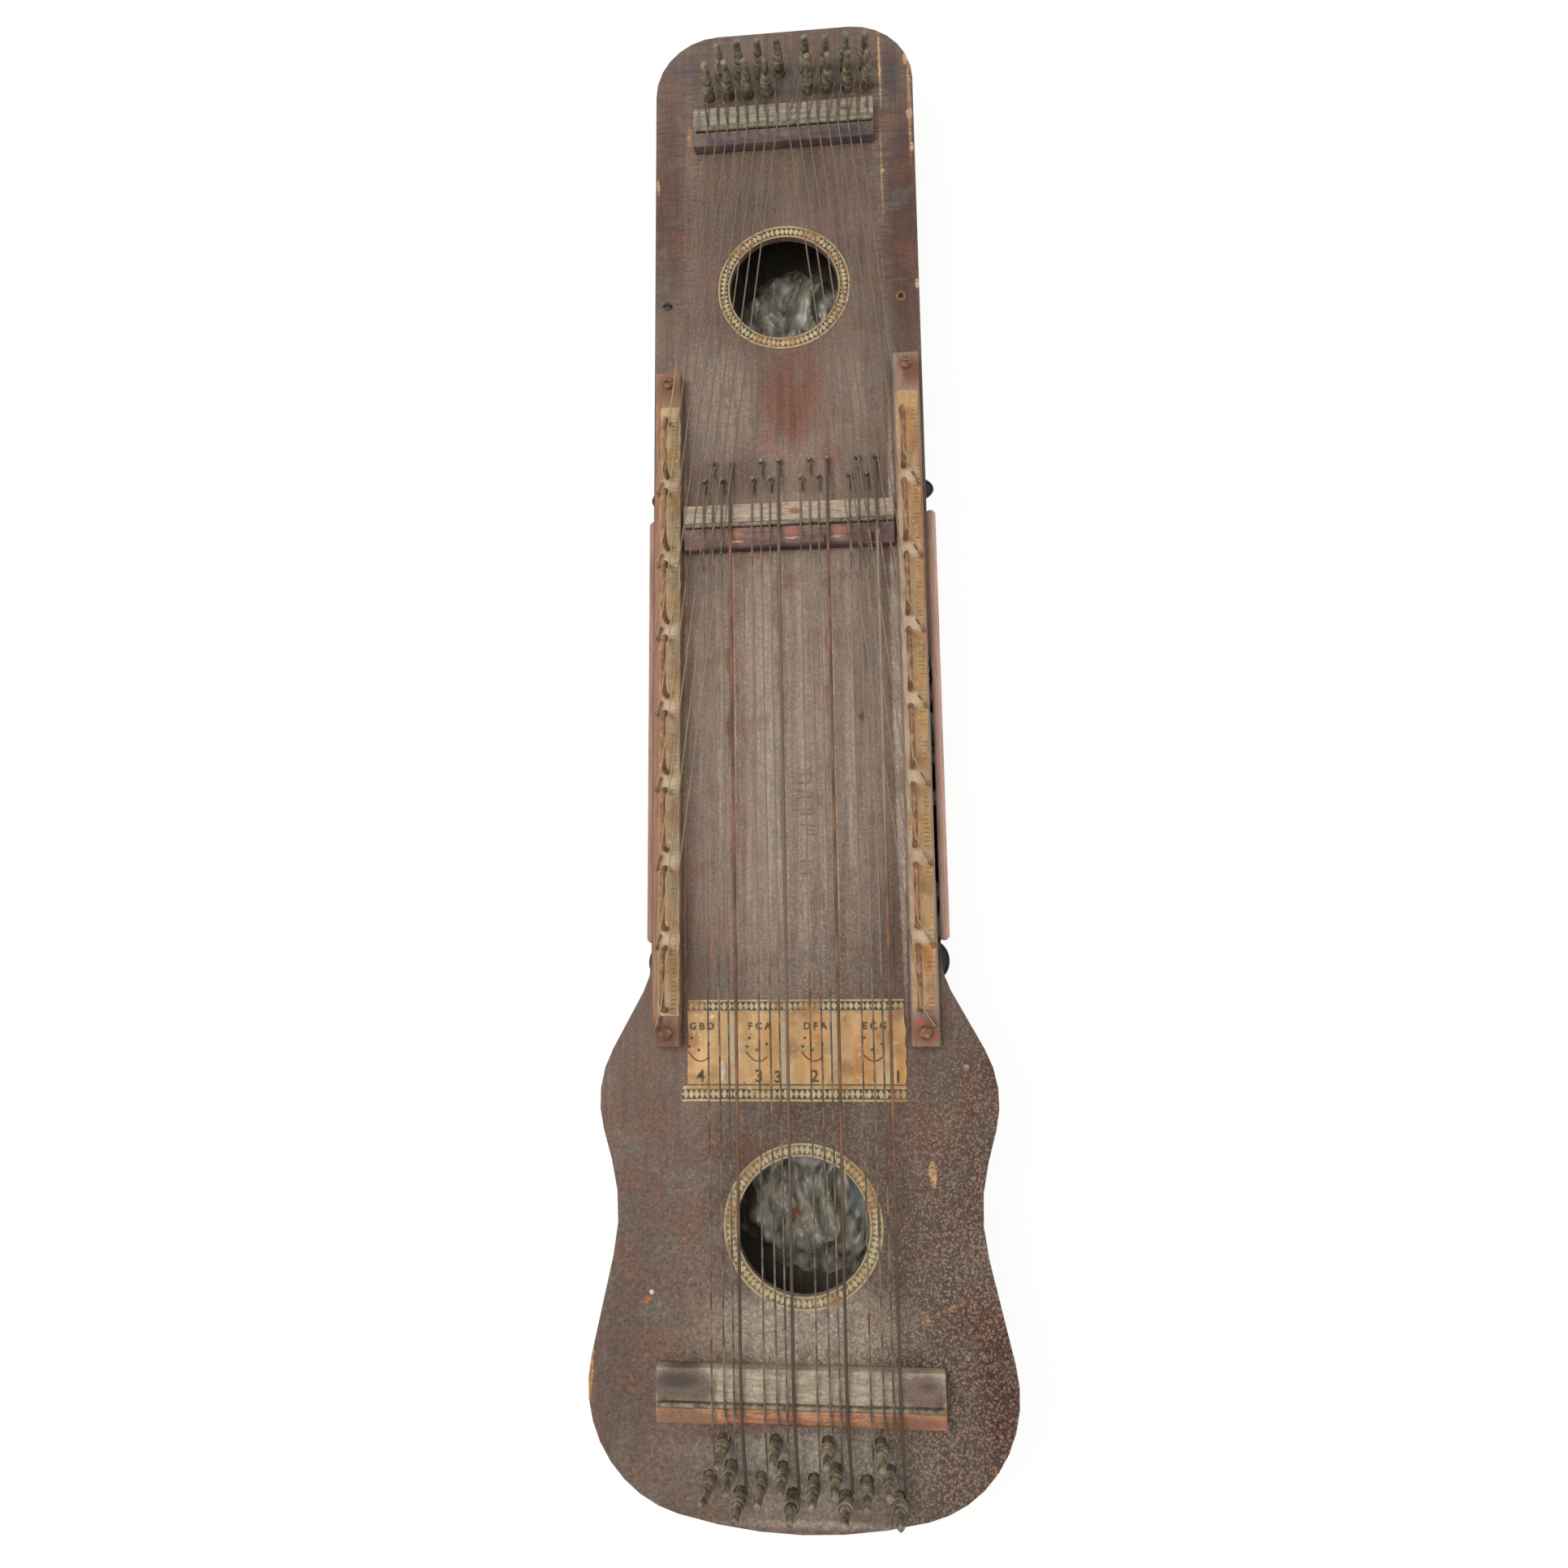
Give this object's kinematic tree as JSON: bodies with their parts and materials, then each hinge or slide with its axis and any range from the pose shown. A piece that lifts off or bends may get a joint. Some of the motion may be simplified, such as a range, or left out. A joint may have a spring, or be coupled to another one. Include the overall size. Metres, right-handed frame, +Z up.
{
  "type": "ukelin",
  "caption": "Bowed zither with a waisted sound box, melody strings that fan out to wire arches on side rails, and groups of chord strings, with tuning pins that turn.",
  "frame": {"origin": "under the middle of the sound box, on the flat back that it lies on", "axes": "+Y along the box towards the narrow head end, +Z up out of the face, +X to the right of someone who looks down on the face with the head end away from them"},
  "size_m": [0.1786, 0.686, 0.058],
  "materials": {
    "stained_wood": "dark stained hardwood with a grained face",
    "bare_wood": "plain softwood inside the box",
    "rail_wood": "reddish hardwood strip",
    "bridge_wood": "worn hardwood",
    "strip_wood": "varnished hardwood moulding",
    "pin_steel": "dull oxidised steel",
    "string_steel": "tarnished steel music wire",
    "rail_paper": "printed paper strip",
    "chart_paper": "printed paper label",
    "black_wire": "blackened steel wire",
    "screw_steel": "dull slotted steel screw"
  },
  "bodies": {
    "box": {"back_board": "stained_wood", "chart_label": "chart_paper", "chord_strings": "string_steel", "head_block": "bare_wood", "hitch_block": "bare_wood", "lower_bridge": "bridge_wood", "melody_strings": "string_steel", "middle_bridge": "bridge_wood", "rail_left": "rail_wood", "rail_paper_left": "rail_paper", "rail_paper_right": "rail_paper", "rail_right": "rail_wood", "rail_screw_left_head": "screw_steel", "rail_screw_left_tail": "screw_steel", "rail_screw_right_head": "screw_steel", "rail_screw_right_tail": "screw_steel", "side_left": "stained_wood", "side_loop_left_head": "black_wire", "side_loop_left_tail": "black_wire", "side_loop_right_head": "black_wire", "side_loop_right_tail": "black_wire", "side_right": "stained_wood", "side_strip_left": "strip_wood", "side_strip_right": "strip_wood", "sound_board": "stained_wood", "tail_block": "bare_wood", "top_brace": "bare_wood", "upper_bridge": "bridge_wood"},
    "chord_pin_01": {"chord_pin_01": "pin_steel"},
    "chord_pin_02": {"chord_pin_02": "pin_steel"},
    "chord_pin_03": {"chord_pin_03": "pin_steel"},
    "chord_pin_04": {"chord_pin_04": "pin_steel"},
    "chord_pin_05": {"chord_pin_05": "pin_steel"},
    "chord_pin_06": {"chord_pin_06": "pin_steel"},
    "chord_pin_07": {"chord_pin_07": "pin_steel"},
    "chord_pin_08": {"chord_pin_08": "pin_steel"},
    "chord_pin_09": {"chord_pin_09": "pin_steel"},
    "chord_pin_10": {"chord_pin_10": "pin_steel"},
    "chord_pin_11": {"chord_pin_11": "pin_steel"},
    "chord_pin_12": {"chord_pin_12": "pin_steel"},
    "chord_pin_13": {"chord_pin_13": "pin_steel"},
    "chord_pin_14": {"chord_pin_14": "pin_steel"},
    "chord_pin_15": {"chord_pin_15": "pin_steel"},
    "chord_pin_16": {"chord_pin_16": "pin_steel"},
    "melody_pin_01": {"melody_pin_01": "pin_steel"},
    "melody_pin_02": {"melody_pin_02": "pin_steel"},
    "melody_pin_03": {"melody_pin_03": "pin_steel"},
    "melody_pin_04": {"melody_pin_04": "pin_steel"},
    "melody_pin_05": {"melody_pin_05": "pin_steel"},
    "melody_pin_06": {"melody_pin_06": "pin_steel"},
    "melody_pin_07": {"melody_pin_07": "pin_steel"},
    "melody_pin_08": {"melody_pin_08": "pin_steel"},
    "melody_pin_09": {"melody_pin_09": "pin_steel"},
    "melody_pin_10": {"melody_pin_10": "pin_steel"},
    "melody_pin_11": {"melody_pin_11": "pin_steel"},
    "melody_pin_12": {"melody_pin_12": "pin_steel"},
    "melody_pin_13": {"melody_pin_13": "pin_steel"},
    "melody_pin_14": {"melody_pin_14": "pin_steel"},
    "melody_pin_15": {"melody_pin_15": "pin_steel"},
    "melody_pin_16": {"melody_pin_16": "pin_steel"}
  },
  "joints": [
    {"name": "turn_chord_pin_01", "type": "hinge", "parent": "box", "child": "chord_pin_01", "pos_m": [-0.0378, -0.322, 0.038], "axis": [0, 0, 1], "continuous": true},
    {"name": "turn_chord_pin_02", "type": "hinge", "parent": "box", "child": "chord_pin_02", "pos_m": [-0.0318, -0.3077, 0.038], "axis": [0, 0, 1], "continuous": true},
    {"name": "turn_chord_pin_03", "type": "hinge", "parent": "box", "child": "chord_pin_03", "pos_m": [-0.0289, -0.3177, 0.038], "axis": [0, 0, 1], "continuous": true},
    {"name": "turn_chord_pin_04", "type": "hinge", "parent": "box", "child": "chord_pin_04", "pos_m": [-0.0252, -0.3277, 0.038], "axis": [0, 0, 1], "continuous": true},
    {"name": "turn_chord_pin_05", "type": "hinge", "parent": "box", "child": "chord_pin_05", "pos_m": [-0.0163, -0.322, 0.038], "axis": [0, 0, 1], "continuous": true},
    {"name": "turn_chord_pin_06", "type": "hinge", "parent": "box", "child": "chord_pin_06", "pos_m": [-0.0103, -0.3077, 0.038], "axis": [0, 0, 1], "continuous": true},
    {"name": "turn_chord_pin_07", "type": "hinge", "parent": "box", "child": "chord_pin_07", "pos_m": [-0.0074, -0.3177, 0.038], "axis": [0, 0, 1], "continuous": true},
    {"name": "turn_chord_pin_08", "type": "hinge", "parent": "box", "child": "chord_pin_08", "pos_m": [-0.0037, -0.3277, 0.038], "axis": [0, 0, 1], "continuous": true},
    {"name": "turn_chord_pin_09", "type": "hinge", "parent": "box", "child": "chord_pin_09", "pos_m": [0.0052, -0.322, 0.038], "axis": [0, 0, 1], "continuous": true},
    {"name": "turn_chord_pin_10", "type": "hinge", "parent": "box", "child": "chord_pin_10", "pos_m": [0.0112, -0.3077, 0.038], "axis": [0, 0, 1], "continuous": true},
    {"name": "turn_chord_pin_11", "type": "hinge", "parent": "box", "child": "chord_pin_11", "pos_m": [0.0141, -0.3177, 0.038], "axis": [0, 0, 1], "continuous": true},
    {"name": "turn_chord_pin_12", "type": "hinge", "parent": "box", "child": "chord_pin_12", "pos_m": [0.0178, -0.3277, 0.038], "axis": [0, 0, 1], "continuous": true},
    {"name": "turn_chord_pin_13", "type": "hinge", "parent": "box", "child": "chord_pin_13", "pos_m": [0.0267, -0.322, 0.038], "axis": [0, 0, 1], "continuous": true},
    {"name": "turn_chord_pin_14", "type": "hinge", "parent": "box", "child": "chord_pin_14", "pos_m": [0.0327, -0.3077, 0.038], "axis": [0, 0, 1], "continuous": true},
    {"name": "turn_chord_pin_15", "type": "hinge", "parent": "box", "child": "chord_pin_15", "pos_m": [0.0356, -0.3177, 0.038], "axis": [0, 0, 1], "continuous": true},
    {"name": "turn_chord_pin_16", "type": "hinge", "parent": "box", "child": "chord_pin_16", "pos_m": [0.0393, -0.3277, 0.038], "axis": [0, 0, 1], "continuous": true},
    {"name": "turn_melody_pin_01", "type": "hinge", "parent": "box", "child": "melody_pin_01", "pos_m": [-0.0366, 0.3093, 0.038], "axis": [0, 0, 1], "continuous": true},
    {"name": "turn_melody_pin_02", "type": "hinge", "parent": "box", "child": "melody_pin_02", "pos_m": [-0.0304, 0.3196, 0.038], "axis": [0, 0, 1], "continuous": true},
    {"name": "turn_melody_pin_03", "type": "hinge", "parent": "box", "child": "melody_pin_03", "pos_m": [-0.027, 0.3093, 0.038], "axis": [0, 0, 1], "continuous": true},
    {"name": "turn_melody_pin_04", "type": "hinge", "parent": "box", "child": "melody_pin_04", "pos_m": [-0.0208, 0.3196, 0.038], "axis": [0, 0, 1], "continuous": true},
    {"name": "turn_melody_pin_05", "type": "hinge", "parent": "box", "child": "melody_pin_05", "pos_m": [-0.0174, 0.3093, 0.038], "axis": [0, 0, 1], "continuous": true},
    {"name": "turn_melody_pin_06", "type": "hinge", "parent": "box", "child": "melody_pin_06", "pos_m": [-0.0112, 0.3196, 0.038], "axis": [0, 0, 1], "continuous": true},
    {"name": "turn_melody_pin_07", "type": "hinge", "parent": "box", "child": "melody_pin_07", "pos_m": [-0.0078, 0.3093, 0.038], "axis": [0, 0, 1], "continuous": true},
    {"name": "turn_melody_pin_08", "type": "hinge", "parent": "box", "child": "melody_pin_08", "pos_m": [-0.0016, 0.3196, 0.038], "axis": [0, 0, 1], "continuous": true},
    {"name": "turn_melody_pin_09", "type": "hinge", "parent": "box", "child": "melody_pin_09", "pos_m": [0.0116, 0.3196, 0.038], "axis": [0, 0, 1], "continuous": true},
    {"name": "turn_melody_pin_10", "type": "hinge", "parent": "box", "child": "melody_pin_10", "pos_m": [0.0126, 0.3093, 0.038], "axis": [0, 0, 1], "continuous": true},
    {"name": "turn_melody_pin_11", "type": "hinge", "parent": "box", "child": "melody_pin_11", "pos_m": [0.0212, 0.3196, 0.038], "axis": [0, 0, 1], "continuous": true},
    {"name": "turn_melody_pin_12", "type": "hinge", "parent": "box", "child": "melody_pin_12", "pos_m": [0.0222, 0.3093, 0.038], "axis": [0, 0, 1], "continuous": true},
    {"name": "turn_melody_pin_13", "type": "hinge", "parent": "box", "child": "melody_pin_13", "pos_m": [0.0308, 0.3196, 0.038], "axis": [0, 0, 1], "continuous": true},
    {"name": "turn_melody_pin_14", "type": "hinge", "parent": "box", "child": "melody_pin_14", "pos_m": [0.0318, 0.3093, 0.038], "axis": [0, 0, 1], "continuous": true},
    {"name": "turn_melody_pin_15", "type": "hinge", "parent": "box", "child": "melody_pin_15", "pos_m": [0.0404, 0.3196, 0.038], "axis": [0, 0, 1], "continuous": true},
    {"name": "turn_melody_pin_16", "type": "hinge", "parent": "box", "child": "melody_pin_16", "pos_m": [0.0414, 0.3093, 0.038], "axis": [0, 0, 1], "continuous": true}
  ]
}
